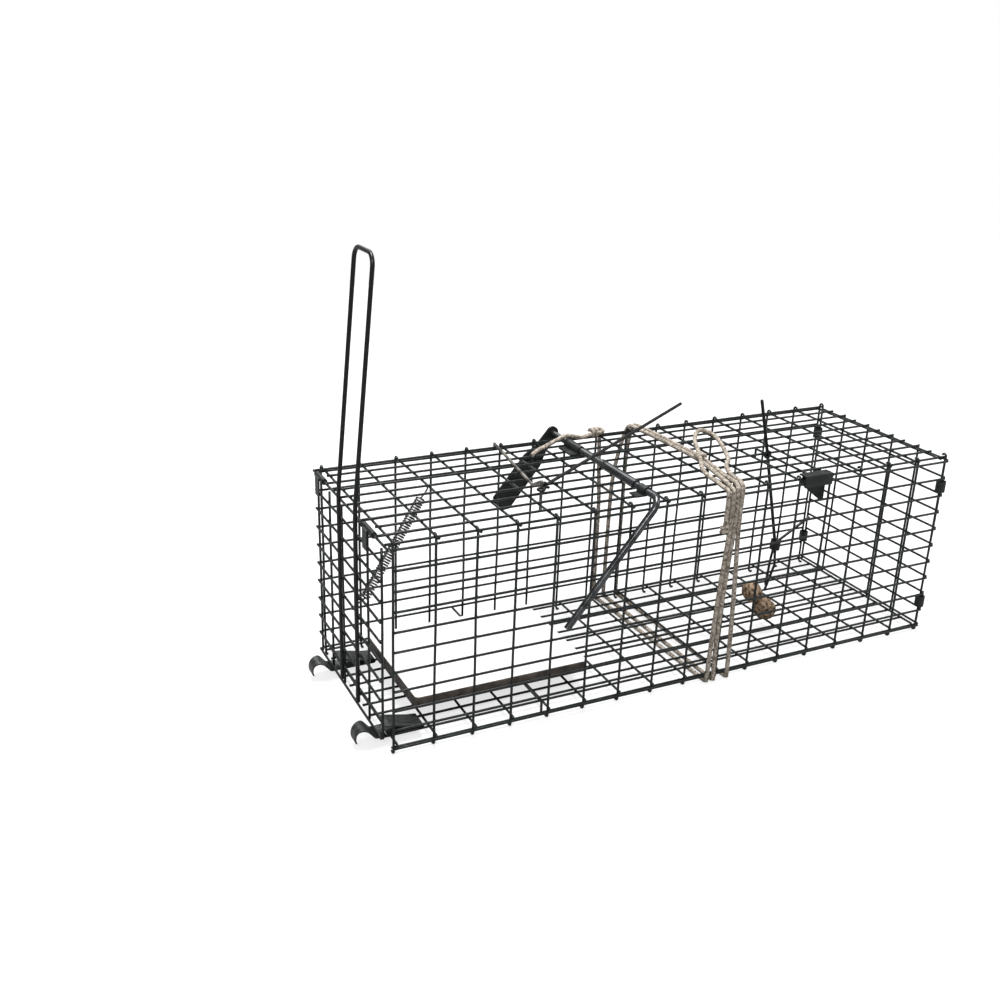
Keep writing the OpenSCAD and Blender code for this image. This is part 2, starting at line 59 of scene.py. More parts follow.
def make_camera():
    sa, ca, se, ce = math.sin(CAM_AZ), math.cos(CAM_AZ), math.sin(CAM_EL), math.cos(CAM_EL)
    back = Vector((sa * ce, -ca * ce, se))
    right = Vector((ca, sa, 0))
    up = back.cross(right)
    c, s = math.cos(CAM_ROLL), math.sin(CAM_ROLL)
    r = right * c + up * s
    u = up * c - right * s
    data = bpy.data.cameras.new("camera")
    data.lens = CAM_LENS
    data.sensor_width = CAM_SENSOR
    data.clip_start = 0.01
    cam = bpy.data.objects.new("camera", data)
    bpy.context.collection.objects.link(cam)
    cam.matrix_world = Matrix(
        ((r[0], u[0], back[0], CAM_POS[0]), (r[1], u[1], back[1], CAM_POS[1]),
         (r[2], u[2], back[2], CAM_POS[2]), (0, 0, 0, 1)))
    bpy.context.scene.camera = cam


make_camera()

# ---------------------------------------------------------------- sizes, in millimetres
WIRE_R = 0.8
LAYER = 1.4
PITCH_L = 25.4
PITCH_H = 12.7
FRONT_X = -195.4
STEPS_L, STEPS_H, STEPS_W = 16, 10, 10
REAR_X = FRONT_X + PITCH_L * STEPS_L
EDGE_Y = 63.5
POST_Y = 65.15
RAIL_Y = POST_Y + LAYER
SIDE_Y = RAIL_Y + WIRE_R
FLOOR_Z = 3.85
RAIL_Z0 = 4.6
ROOF_Z = 134.1
ROOF_TOP = ROOF_Z + WIRE_R
HOOK_R = 1.65
HOOK_LOW = 2.45
HOOK_HIGH = ROOF_Z + 0.6
HINGE_X = FRONT_X - 4
HINGE_Z = ROOF_Z - LAYER
DOOR_HALF = 58.0
DOOR_ROWS = 10
END_WIRES = 6
DOOR_RAIL_Z0 = 8.6
DOOR_RAIL_X = HINGE_X - LAYER
LOOP_R = 1.3
LOOP_LEGS = (-25, 5)
LOOP_RISE = 152
LOOP_X = DOOR_RAIL_X - WIRE_R - LOOP_R - 0.3
LEVER_Y = -19.05
ROPE_R = 1.5
ROPE_OUT = SIDE_Y + ROPE_R + 0.15
ROPE_UP = ROOF_TOP + ROPE_R + 0.2
ROPE_LOW = 1.53
SLEEVES = ((-48, -26.5), (42.5, 62))


def post_x(k):
    return FRONT_X + PITCH_L * k


def cross_x(k):
    return post_x(k) + (2.6 if k < STEPS_L else -2.6)


def rail_z(j):
    return RAIL_Z0 + PITCH_H * j


def door_rail_z(j):
    return DOOR_RAIL_Z0 + PITCH_H * j


def end_wire_y(i, half):
    return -half + 2 * half * i / (END_WIRES - 1)


def long_y(j):
    return -EDGE_Y + PITCH_H * j


# ---------------------------------------------------------------- materials
GLOSS_SPREAD = 0.12
RELIEF_DEPTH = 0.0002
MOTTLE_DETAIL = 4
RELIEF_DETAIL = 3


def noise_fac(nt, mapping, scale, detail):
    """Socket of a noise laid over the piece by mapping."""
    noise = nt.nodes.new("ShaderNodeTexNoise")
    noise.inputs["Scale"].default_value = scale
    noise.inputs["Detail"].default_value = detail
    nt.links.new(mapping.outputs["Vector"], noise.inputs["Vector"])
    return noise.outputs["Fac"]


def material(name, dark, light, rough, metallic=0.0, scale=200, blend=0.5, relief=0.2,
             relief_scale=1200, stretch=(1, 1, 1), specular=0.5):
    """Surface with two-tone mottling, uneven gloss and fine relief, all from noise."""
    m = bpy.data.materials.new(name)
    m.use_nodes = True
    nt = m.node_tree
    bsdf = nt.nodes["Principled BSDF"]
    bsdf.inputs["Metallic"].default_value = metallic
    bsdf.inputs["Specular IOR Level"].default_value = specular
    coord = nt.nodes.new("ShaderNodeTexCoord")
    mapping = nt.nodes.new("ShaderNodeMapping")
    mapping.inputs["Scale"].default_value = stretch
    nt.links.new(coord.outputs["Object"], mapping.inputs["Vector"])
    mottle = noise_fac(nt, mapping, scale, MOTTLE_DETAIL)
    ramp = nt.nodes.new("ShaderNodeValToRGB")
    first, last = ramp.color_ramp.elements
    first.position = 0.5 - blend / 2
    last.position = 0.5 + blend / 2
    first.color = (*dark, 1)
    last.color = (*light, 1)
    nt.links.new(mottle, ramp.inputs["Fac"])
    nt.links.new(ramp.outputs["Color"], bsdf.inputs["Base Color"])
    gloss = nt.nodes.new("ShaderNodeMapRange")
    gloss.inputs["To Min"].default_value = rough - GLOSS_SPREAD
    gloss.inputs["To Max"].default_value = rough + GLOSS_SPREAD
    nt.links.new(mottle, gloss.inputs["Value"])
    nt.links.new(gloss.outputs["Result"], bsdf.inputs["Roughness"])
    bump = nt.nodes.new("ShaderNodeBump")
    bump.inputs["Strength"].default_value = relief
    bump.inputs["Distance"].default_value = RELIEF_DEPTH
    nt.links.new(noise_fac(nt, mapping, relief_scale, RELIEF_DETAIL), bump.inputs["Height"])
    nt.links.new(bump.outputs["Normal"], bsdf.inputs["Normal"])
    return m


MESH = material("mesh_wire", (0.003, 0.005, 0.005), (0.014, 0.019, 0.018), rough=0.34, scale=260,
                relief=0.25, relief_scale=1800, specular=0.4)
BLACK = material("black_wire", (0.002, 0.002, 0.003), (0.009, 0.009, 0.01), rough=0.34, scale=300,
                 blend=0.6, relief_scale=1500, specular=0.35)
BLACK_STRIP = material("black_strip", (0.004, 0.005, 0.005), (0.02, 0.024, 0.023), rough=0.42,
                       scale=180, relief=0.3, specular=0.35)
STRIP = material("spring_strip", (0.02, 0.024, 0.023), (0.11, 0.12, 0.115), rough=0.34,
                 metallic=0.8, scale=140, relief=0.25, stretch=(1, 6, 1))
ROD = material("rod_steel", (0.02, 0.023, 0.024), (0.15, 0.155, 0.16), rough=0.24, metallic=0.85,
               scale=160, blend=0.6, relief=0.12, relief_scale=900, stretch=(1, 0.25, 1))
WHITE = material("white_plate", (0.86, 0.85, 0.84), (0.78, 0.77, 0.76), rough=0.42, scale=60,
                 relief=0.1, relief_scale=700)
# Dark brown painted shade for the treadle's turned-down lip, its inside and the underside of the top,
# which stand in shade; not the sheet's own colour.
LIP_PAINTED_SHADE = material("treadle_lip", (0.012, 0.01, 0.009), (0.13, 0.11, 0.09), rough=0.45,
                     metallic=0.2, scale=110, blend=0.4, relief_scale=900)
SHELL = material("peanut_shell", (0.03, 0.017, 0.01), (0.36, 0.25, 0.16), rough=0.6, scale=420,
                 blend=0.26, relief=0.8, relief_scale=1100, specular=0.3)
CORD = material("cord", (0.1, 0.08, 0.06), (0.47, 0.42, 0.36), rough=0.85, scale=620, blend=0.34,
                relief=0.6, relief_scale=2600, specular=0.2)
COIL = material("coil_steel", (0.02, 0.02, 0.02), (0.12, 0.12, 0.12), rough=0.3, metallic=0.7,
                scale=240, relief=0.1)
GREY_WIRE = material("grey_wire", (0.015, 0.014, 0.012), (0.26, 0.24, 0.21), rough=0.4,
                     metallic=0.4, scale=90, blend=0.3)


# ---------------------------------------------------------------- mesh making
class Build:
    """Gathers swept tubes, balls and plates, in millimetres, into one mesh."""

    def __init__(self):
        self.verts = []
        self.faces = []

    def add(self, verts, faces):
        n = len(self.verts)
        self.verts += [tuple(v) for v in verts]
        self.faces += [tuple(i + n for i in f) for f in faces]

    def tube(self, points, r, sides=10, shape=None):
        """Capped tube along points; r is one radius or one for each point, which
        shape(ring, angle) scales where it is given."""
        p = np.array([tuple(q) for q in points], float)
        n = len(p)
        t = np.vstack([p[1:], p[-1:]]) - np.vstack([p[:1], p[:-1]])
        t /= np.linalg.norm(t, axis=1)[:, None]
        ref = np.array([0, 0, 1.0]) if abs(t[0][2]) < 0.9 else np.array([1.0, 0, 0])
        u = ref - t[0] * ref.dot(t[0])
        rings = []
        radii = np.full(n, r, float) if np.isscalar(r) else r
        for i in range(n):
            u = u - t[i] * u.dot(t[i])
            u /= np.linalg.norm(u)
            w = np.cross(t[i], u)
            ring = []
            for k in range(sides):
                a = 2 * math.pi * k / sides
                rad = radii[i] * (shape(i, a) if shape else 1)
                ring.append(p[i] + (u * math.cos(a) + w * math.sin(a)) * rad)
            rings.append(ring)
        verts = [v for ring in rings for v in ring]
        faces = []
        for i in range(n - 1):
            a, b = i * sides, (i + 1) * sides
            for k in range(sides):
                k2 = (k + 1) % sides
                faces.append((a + k, a + k2, b + k2, b + k))
        faces.append(tuple(range(sides - 1, -1, -1)))
        faces.append(tuple((n - 1) * sides + k for k in range(sides)))
        self.add(verts, faces)

    def ball(self, c, radii, rows=5, cols=8):
        """Ellipsoid with the given half axes."""
        verts = [(c[0], c[1], c[2] + radii[2])]
        for i in range(1, rows):
            th = math.pi * i / rows
            for k in range(cols):
                a = 2 * math.pi * k / cols
                verts.append((c[0] + radii[0] * math.sin(th) * math.cos(a),
                              c[1] + radii[1] * math.sin(th) * math.sin(a),
                              c[2] + radii[2] * math.cos(th)))
        verts.append((c[0], c[1], c[2] - radii[2]))
        last = len(verts) - 1
        faces = [(0, 1 + k, 1 + (k + 1) % cols) for k in range(cols)]
        for i in range(rows - 2):
            for k in range(cols):
                a, b = 1 + i * cols, 1 + (i + 1) * cols
                faces.append((a + k, b + k, b + (k + 1) % cols, a + (k + 1) % cols))
        b = 1 + (rows - 2) * cols
        faces += [(last, b + (k + 1) % cols, b + k) for k in range(cols)]
        self.add(verts, faces)

    def done(self, name, mat, body, replaces, smooth=True):
        """Make the object, on a body if one is given, in place of its nodes."""
        me = bpy.data.meshes.new(name)
        me.from_pydata([tuple(c * MM for c in v) for v in self.verts], [], self.faces)
        me.materials.append(mat)
        if smooth:
            me.polygons.foreach_set("use_smooth", [True] * len(me.polygons))
        me.update()
        o = bpy.data.objects.new(name, me)
        bpy.context.collection.objects.link(o)
        if body:
            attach(o, body)
        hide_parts(*replaces)
        return o


def smooth_path(points, step):
    """Catmull-Rom curve through points, cut about every step."""
    p = [np.array(tuple(q), float) for q in points]
    out = []
    n = len(p)
    for i in range(n - 1):
        a, b, c, d = p[max(i - 1, 0)], p[i], p[i + 1], p[min(i + 2, n - 1)]
        m = max(1, int(round(np.linalg.norm(c - b) / step)))
        for k in range(m):
            s = k / m
            out.append(0.5 * (2 * b + (c - a) * s + (2 * a - 5 * b + 4 * c - d) * s * s
                              + (3 * b - a - 3 * c + d) * s ** 3))
    out.append(p[-1])
    return out


WAVES_SIDE = (2.3 * 3.14, 7)
WAVES_OTHER = (2.9 * 3.14, 9)
WAVE_SHARES = (0.6, 0.4)
WAVE_TURN = 6.28
SKEW = (0.31, 0.52, 0.79)
STRAY = 0.28


def sway(s, waves, phases):
    """Sum of a slow and a quick wave at s."""
    return sum(share * math.sin(wave * s + phase)
               for share, wave, phase in zip(WAVE_SHARES, waves, phases))


def wander(p, q, n, amp=STRAY):
    """Nearly straight wire from p to q, in n lengths, that strays from the line by up to amp."""
    p, q = np.array(p, float), np.array(q, float)
    t = (q - p) / np.linalg.norm(q - p)
    side = np.cross(t, SKEW)
    side /= np.linalg.norm(side)
    other = np.cross(t, side)
    phases = [rng.uniform(0, WAVE_TURN) for _ in range(4)]
    out = []
    for i in range(n + 1):
        s = i / n
        reach = 0.7 * amp * math.sin(math.pi * s) ** 0.5
        out.append(p + (q - p) * s + side * reach * sway(s, WAVES_SIDE, phases[:2])
                   + other * reach * sway(s, WAVES_OTHER, phases[2:]))
    return out


def ring_arc(c, r, a0, a1, n, plane="yz"):
    """Points on an arc about c. The plane's first axis is angle 0."""
    out = []
    for i in range(n + 1):
        a = math.radians(a0 + (a1 - a0) * i / n)
        u, v = r * math.cos(a), r * math.sin(a)
        out.append((c[0], c[1] + u, c[2] + v) if plane == "yz" else (c[0] + u, c[1], c[2] + v))
    return out


# ---------------------------------------------------------------- cord
ROPE_ROUTE = [
    (-59, 35, ROPE_UP), (-51, 42, ROPE_UP), (-41, 47.5, ROPE_UP + 0.5), (-33, 48, ROPE_UP + 3.5),
    (-26, 48, 142.2), (-18, 49, ROPE_UP + 3.5), (-11, 53, ROPE_UP + 1), (-4, 56, ROPE_UP + 1),
    (2, 58, ROPE_UP + 1), (7, 58.2, ROPE_UP + 1), (10.8, 61.5, ROPE_UP + 0.5), (12.4, 66.5, ROPE_UP),
    (13, ROPE_OUT, 133.5), (14, ROPE_OUT, 110), (16, ROPE_OUT, 80), (16.5, ROPE_OUT, 40),
    (17, ROPE_OUT, 4.2), (18, ROPE_OUT - 0.7, 2.6), (18, ROPE_OUT - 2.1, ROPE_LOW + 0.1),
    (18.5, 63, ROPE_LOW), (20, 30, ROPE_LOW), (22, -30, ROPE_LOW), (23, -63, ROPE_LOW),
    (23.2, 2.1 - ROPE_OUT, ROPE_LOW + 0.1), (23.2, 0.7 - ROPE_OUT, 2.6), (23.2, -ROPE_OUT, 4.2),
    (24, -ROPE_OUT, 30), (26, -ROPE_OUT, 70), (28.6, -ROPE_OUT, 110), (28.6, -ROPE_OUT, 133.5),
    (29, -66.5, ROPE_UP), (31, -60, ROPE_UP + 0.2), (36, -40, ROPE_UP), (40, -20, ROPE_UP),
    (41.3, 0, ROPE_UP), (40.5, 30, ROPE_UP), (38.5, 58, ROPE_UP), (37.5, 66.5, ROPE_UP),
    (35.5, ROPE_OUT, 133.5), (31, ROPE_OUT, 120), (26.5, ROPE_OUT, 95), (25.5, ROPE_OUT, 50),
    (25.5, ROPE_OUT, 4.2), (26, ROPE_OUT - 0.7, 2.6), (26, ROPE_OUT - 2.1, ROPE_LOW + 0.1),
    (26, 63, ROPE_LOW), (27, 30, ROPE_LOW), (28, -30, ROPE_LOW), (28.5, -63, ROPE_LOW),
    (28.5, 2.1 - ROPE_OUT, ROPE_LOW + 0.1), (28.5, 0.7 - ROPE_OUT, 2.6), (28.5, -ROPE_OUT, 4.2),
    (28, -ROPE_OUT, 30), (29.5, -ROPE_OUT, 70), (31.9, -ROPE_OUT, 110), (32, -ROPE_OUT, 133.5),
    (32.4, -67.8, 137.4), (33.2, -64, 139.2), (35, -59, 138.4), (38.5, -45, ROPE_UP + 0.4),
    (43, -25, ROPE_UP), (45.2, -5, ROPE_UP), (45, 27, ROPE_UP), (43, 57, ROPE_UP), (42, 66.5, ROPE_UP),
    (40, ROPE_OUT, 133.5), (37, ROPE_OUT, 115), (36.5, ROPE_OUT, 80), (36.5, ROPE_OUT, 40),
    (36.5, ROPE_OUT, 4.2), (37, ROPE_OUT - 0.7, 2.6), (37, ROPE_OUT - 2.1, ROPE_LOW + 0.1),
    (37, 63, ROPE_LOW), (38, 30, ROPE_LOW), (39, -30, ROPE_LOW), (39.4, -63, ROPE_LOW),
    (39.4, 2.1 - ROPE_OUT, ROPE_LOW + 0.1), (39.4, 0.7 - ROPE_OUT, 2.6), (39.4, -ROPE_OUT, 4.2),
    (39, -ROPE_OUT, 30), (37.5, -ROPE_OUT, 70), (35.4, -ROPE_OUT, 110), (35.5, -ROPE_OUT, 133.5),
    (36.3, -67.8, 137), (37.6, -64, 138.4), (39.8, -59, 138), (43.5, -45, ROPE_UP + 0.4),
    (49.5, -32, ROPE_UP + 1), (57, -24, ROPE_UP + 1.5), (64, -10, ROPE_UP + 3), (69, 4, ROPE_UP + 5),
    (70.3, 14, ROPE_UP + 6.5), (67.5, 21, ROPE_UP + 7.3), (60.5, 18.5, ROPE_UP + 7.3),
    (52, 8, ROPE_UP + 5.5), (46, -4, ROPE_UP + 4), (41, -13, ROPE_UP + 3.7), (36, -22, ROPE_UP + 3.2),
    (31, -31, ROPE_UP + 1.5), (28.5, -40, ROPE_UP + 0.3), (27.3, -52, ROPE_UP), (25.4, -62, ROPE_UP),
    (25, -66.5, ROPE_UP), (25, -ROPE_OUT, 133.5), (25, -ROPE_OUT, 123), (25, -ROPE_OUT, 113)]


BRAID_PITCH = 3.4
BRAID_RELIEF = 0.045
ROPE_STEP = 0.6
KNOT_TURNS = 2.2
KNOT_LENGTH = 6.2
KNOT_STEPS = 60
KNOTS = (
    ("knot_roof", "rope_knot_roof", (2, 58, ROPE_UP + 2), "x", 2.3),
    ("knot_bow", "rope_knot_bow", (40, -15, ROPE_UP + 3), "y", 2.3),
    ("knot_end", "rope_knot_end", (25, 0.6 - ROPE_OUT, 110.5), "z", 1.7))


def braid(i, a, step):
    """Radius of a round braid: two sets of strands winding opposite ways."""
    s = i * step / BRAID_PITCH * 2 * math.pi
    return 1 - BRAID_RELIEF + BRAID_RELIEF * max(math.sin(3 * a + s), math.sin(3 * a - s))


def knot_path(c, axis, size):
    """Short helix about an axis through c."""
    pts = []
    for i in range(KNOT_STEPS + 1):
        s = i / KNOT_STEPS
        a = 2 * math.pi * KNOT_TURNS * s
        rad = size * (0.95 + 0.1 * math.sin(3 * a))
        u, w, h = rad * math.cos(a), rad * math.sin(a), (s - 0.5) * KNOT_LENGTH
        off = {"x": (h, u, w), "y": (u, h, w), "z": (u, w, h)}[axis]
        pts.append((c[0] + off[0], c[1] + off[1], c[2] + off[2]))
    return pts


def make_rope():
    path = smooth_path(ROPE_ROUTE, ROPE_STEP)
    b = Build()
    b.tube(path, ROPE_R, 12, shape=lambda i, a: braid(i, a, ROPE_STEP))
    rope = b.done("cord_braid", CORD, "cage", ["rope"])
    for name, node, c, axis, size in KNOTS:
        k = Build()
        k.tube(knot_path(c, axis, size), ROPE_R * 0.93, 12, shape=lambda i, a: braid(i, a, 0.7))
        k.done(name, CORD, "cage", [node])


make_rope()


# ---------------------------------------------------------------- welded mesh
WELD_X, WELD_Y, WELD_Z = (0.8, 1.05, 1.05), (1.05, 0.8, 1.05), (1.05, 1.05, 0.8)
LONG_CUTS, SHORT_CUTS = 40, 16
DOOR_STRAY = 0.2


def weld(b, p, radii):
    k = rng.uniform(0.92, 1.08)
    b.ball(p, [r * k for r in radii])


def side_panel(s, name, node):
    """Uprights with both ends curled round the edge wires, and the rails outside them."""
    b = Build()
    for k in range(STEPS_L + 1):
        x = post_x(k) + rng.uniform(-0.25, 0.25)
        low = ring_arc((x, -EDGE_Y, HOOK_LOW), HOOK_R, 345 + rng.uniform(-18, 0), 180, 9)
        mid = wander((x, -POST_Y, HOOK_LOW), (x, -POST_Y, HOOK_HIGH), SHORT_CUTS, 0.3)
        high = ring_arc((x, -EDGE_Y, HOOK_HIGH), HOOK_R, 180, 20 + rng.uniform(0, 14), 9)
        b.tube([(q[0], -s * q[1], q[2]) for q in low + mid[1:-1] + high], WIRE_R)
        for j in range(STEPS_H + 1):
            weld(b, (x, s * (POST_Y + LAYER / 2), rail_z(j)), WELD_Y)
    for j in range(STEPS_H + 1):
        y, z = s * RAIL_Y, rail_z(j)
        b.tube(wander((FRONT_X - 1, y, z), (REAR_X + 1, y, z), LONG_CUTS), WIRE_R)
    b.done(name, MESH, "cage", [node])


def in_sleeve(y):
    return any(low < y < high for low, high in SLEEVES)


def flat_panel(z, cross_z, name, node, roof):
    """Lengthwise wires at z and cross wires at cross_z; the roof's start at the door's hinge."""
    b = Build()
    for j in range(STEPS_W + 1):
        y = long_y(j)
        x0 = FRONT_X - 0.8
        if roof:
            x0 = HINGE_X + 3.6 if in_sleeve(y) else HINGE_X - 0.3
        b.tube(wander((x0, y, z), (REAR_X + 0.8, y, z), LONG_CUTS), WIRE_R)
    for k in range(STEPS_L + 1):
        x = cross_x(k) + rng.uniform(-0.3, 0.3)
        b.tube(wander((x, -EDGE_Y, cross_z), (x, EDGE_Y, cross_z), SHORT_CUTS), WIRE_R)
        for j in range(STEPS_W + 1):
            weld(b, (x, long_y(j), (z + cross_z) / 2), WELD_Z)
    b.done(name, MESH, "cage", [node])


def rear_panel():
    b = Build()
    x = REAR_X + 1.7
    for i in range(END_WIRES):
        y = end_wire_y(i, EDGE_Y)
        b.tube(wander((x, y, FLOOR_Z - 1), (x, y, ROOF_TOP), SHORT_CUTS), WIRE_R)
        for j in range(STEPS_H + 1):
            weld(b, (x + LAYER / 2, y, rail_z(j)), WELD_X)
    x += LAYER
    for j in range(STEPS_H + 1):
        z = rail_z(j)
        b.tube(wander((x, -EDGE_Y - 1, z), (x, EDGE_Y + 1, z), SHORT_CUTS), WIRE_R)
    b.done("rear_panel", MESH, "cage", ["rear_mesh"])


def door_panel():
    b = Build()
    x = HINGE_X
    low, high = DOOR_RAIL_Z0 - 1, HINGE_Z - 2.9
    for i in range(END_WIRES):
        y = end_wire_y(i, DOOR_HALF)
        b.tube(wander((x, y, low), (x, y, high), SHORT_CUTS, DOOR_STRAY), WIRE_R)
        for j in range(DOOR_ROWS):
            weld(b, (x - LAYER / 2, y, door_rail_z(j)), WELD_X)
    x, y = DOOR_RAIL_X, DOOR_HALF + 1
    for j in range(DOOR_ROWS):
        z = door_rail_z(j)
        b.tube(wander((x, -y, z), (x, y, z), SHORT_CUTS, DOOR_STRAY), WIRE_R)
    b.done("door_panel", MESH, "door", ["door_mesh"])


side_panel(-1, "side_near", "side_mesh_near")
side_panel(1, "side_far", "side_mesh_far")
flat_panel(ROOF_Z, ROOF_Z - LAYER, "roof_panel", "roof_mesh", True)
flat_panel(FLOOR_Z, FLOOR_Z + LAYER, "floor_panel", "floor_mesh", False)
rear_panel()
door_panel()


# ---------------------------------------------------------------- setting loop and spring
KNEE_ABOVE_HINGE = 8
LOOP_LEAN = math.radians(5)
LOOP_CORNER = 7
LOOP_FOOT = 15


def setting_loop():
    """One wire: up a leg on the door, leaning forward above the hinge, and down the other leg."""
    leg_a, leg_b = LOOP_LEGS
    middle, half = (leg_a + leg_b) / 2, (leg_b - leg_a) / 2
    rise = LOOP_RISE - KNEE_ABOVE_HINGE - LOOP_CORNER
    sine, cosine = math.sin(LOOP_LEAN), math.cos(LOOP_LEAN)

    def up(u, v):
        return (LOOP_X + v * sine, middle + u, HINGE_Z + KNEE_ABOVE_HINGE + v * cosine)

    def corner(centre, first):
        """Quarter turn from the angle first, in degrees, clockwise about centre."""
        angles = [math.radians(first - 7.5 * i) for i in range(13)]
        return [up(centre + LOOP_CORNER * math.cos(a), rise + LOOP_CORNER * math.sin(a))
                for a in angles]

    pts = [(LOOP_X, leg_a, LOOP_FOOT + 6 * i) for i in range(21)]
    pts += [up(-half, v) for v in range(2, rise, 8)]
    pts += corner(LOOP_CORNER - half, 180)
    pts += corner(half - LOOP_CORNER, 90)
    pts += [up(half, v) for v in range(rise - 4, 1, -8)]
    pts += [(LOOP_X, leg_b, z) for z in range(138, LOOP_FOOT - 1, -6)]
    pts.append((LOOP_X, leg_b, LOOP_FOOT))
    b = Build()
    b.tube(pts, LOOP_R, 16)
    for y in LOOP_LEGS:
        for j in range(1, DOOR_ROWS):
            weld(b, (LOOP_X + 1.4, y, door_rail_z(j)), (0.9, 1.7, 1.3))
    b.done("loop_wire", BLACK, "door", ["setting_loop"])


SPRING_LOW_Y, SPRING_HIGH_Y = -11, 13
SPRING_WIRE_R = 0.55
COIL_R = 2.7
COIL_PITCH = 1.65
COIL_SIDES = 16
COIL_GROW = 12


def door_spring():
    """Coil spring from a door rail to a cross wire of the roof, with a hook at each end."""
    rail = Vector((DOOR_RAIL_X, SPRING_LOW_Y, door_rail_z(5)))
    cross = Vector((cross_x(2), SPRING_HIGH_Y, ROOF_Z - LAYER))
    low = Vector((HINGE_X + 3.2, SPRING_LOW_Y, door_rail_z(5)))
    high = cross - Vector((3.4, 0, 3.2))
    t = (high - low).normalized()
    u = t.cross(Vector((0, 1, 0))).normalized()
    w = t.cross(u)
    start, end = low + t * 5, high - t * 3.5
    hook_r = WIRE_R + SPRING_WIRE_R
    pts = [Vector(q) for q in ring_arc(rail, hook_r, -150, 30, 10, "xz")]
    pts += [rail + (start - rail) * s for s in (0.35, 0.6, 0.85)]
    steps = int((end - start).length / COIL_PITCH) * COIL_SIDES
    for i in range(steps + 1):
        a = 2 * math.pi * i / COIL_SIDES
        grow = min(1, i / COIL_GROW, (steps - i) / COIL_GROW)
        c = start + (end - start) * (i / steps)
        pts.append(c + (u * math.cos(a) + w * math.sin(a)) * COIL_R * grow)
    pts += [end + (cross - end) * s for s in (0.2, 0.45)]
    pts += [Vector(q) for q in ring_arc(cross, hook_r, 215, 20, 10, "xz")]
    b = Build()
    b.tube(pts, SPRING_WIRE_R, 8)
    o = b.done("spring_coil", COIL, None, ["door_spring"])
    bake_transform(o)


setting_loop()
door_spring()


# ---------------------------------------------------------------- treadle tray
TREADLE_ENDS = (FRONT_X + 22, FRONT_X + 142)
TREADLE_TOP = 21.2
TREADLE_LIP = 7.5
TREADLE_HALF = 44.0
FOLD_R = 1.1
SHEET_T = 1.0
CORNER_R, CORNER_MIN = 3.0, 0.4
QUARTER = (22.5, 45, 67.5, 90)


def fold(r, angles):
    """Points of the fold from the top into the lip: (inset from the outer face, height)."""
    turns = [math.radians(a) for a in angles]
    return [(FOLD_R - r * math.sin(a), TREADLE_TOP - FOLD_R + r * math.cos(a)) for a in turns]


def tray_loop(inset, z):
    """One rounded-corner loop of the tray at an inset from its outer face."""
    x0, x1 = TREADLE_ENDS
    cr = max(CORNER_R - inset, CORNER_MIN)
    out = []
    for cx, sx, sy, first in ((x1, 1, 1, 0), (x0, -1, 1, 90), (x0, -1, -1, 180), (x1, 1, -1, 270)):
        for i in range(5):
            a = math.radians(first + 22.5 * i)
            out.append((cx - sx * (inset + cr) + cr * math.cos(a),
                        sy * (TREADLE_HALF - inset - cr) + cr * math.sin(a), z))
    return out


def treadle():
    """White tray of thin sheet with its lip turned down; from the middle of the fold on, the lip, its
    inside and the underside of the top are painted dark brown as shade.
    """
    foot = TREADLE_TOP - TREADLE_LIP
    outer = [(FOLD_R, TREADLE_TOP)] + fold(FOLD_R, QUARTER) + [(0, foot)]
    inner = [(SHEET_T, foot)] + fold(FOLD_R - SHEET_T, QUARTER[::-1])
    inner.append((FOLD_R, TREADLE_TOP - SHEET_T))
    loops = [tray_loop(inset, z) for inset, z in outer + inner]
    verts = [v for lp in loops for v in lp]
    n, last = len(loops[0]), (len(loops) - 1) * len(loops[0])
    # dark marks the faces that get the painted shade: from the middle of the fold onward, and the cap
    # under the top sheet.
    faces, dark = [], []
    for k in range(len(loops) - 1):
        for i in range(n):
            i2 = (i + 1) % n
            faces.append((k * n + i, (k + 1) * n + i, (k + 1) * n + i2, k * n + i2))
            dark.append(k >= 2)
    faces += [tuple(range(n)), tuple(last + i for i in range(n - 1, -1, -1))]
    dark += [False, True]
    b = Build()
    b.add(verts, faces)
    o = b.done("treadle_tray", WHITE, "treadle", ["treadle_plate"], smooth=False)
    o.data.materials.append(LIP_PAINTED_SHADE)
    for p, d in zip(o.data.polygons, dark):
        p.material_index = int(d)
        p.use_smooth = len(p.vertices) == 4


treadle()


# ---------------------------------------------------------------- bait
LOBE_RINGS = 44
LOBE_SIDES = 96


def lobe(b, p, q, r, phase):
    """One half of a shell: a capsule from p to q with lengthwise ribs and cross veins."""
    p, q = np.array(p), np.array(q)
    length = np.linalg.norm(q - p)
    axis = (q - p) / length
    path, radii = [], []
    for i in range(LOBE_RINGS + 1):
        th = math.pi * i / LOBE_RINGS
        path.append(p + axis * (length * i / LOBE_RINGS - r * math.cos(th)))
        radii.append(max(0.15, r * math.sin(th) ** 0.85))

    def shell(i, a):
        if not 1 < i < LOBE_RINGS - 1:
            return 1
        rib = 0.035 * math.cos(12 * a + 0.6 * math.sin(i / 5 + phase))
        vein = 0.022 * math.sin(i * 0.9 + 2.2 * math.sin(3 * a + phase))
        dent = 0.03 * math.sin(3 * a + i / 8 + phase)
        return 0.985 + rib + vein + dent

    b.tube(path, radii, LOBE_SIDES, shape=shell)


def peanut():
    x, y = FRONT_X + 296, LEVER_Y
    b = Build()
    lobe(b, (x - 7, y, 33.5), (x - 4, y, 29.5), 6.9, 0.4)
    lobe(b, (x + 4, y - 1, 19), (x + 8, y - 1, 15.2), 7.7, 2.1)
    b.tube([(x - 3, y - 0.5, 28.5), (x + 1.2, y - 0.7, 24.2), (x + 5.3, y - 1, 19.9)], 2.7, 24)
    b.done("peanut", SHELL, "bait_lever", ["bait_peanut"])


peanut()

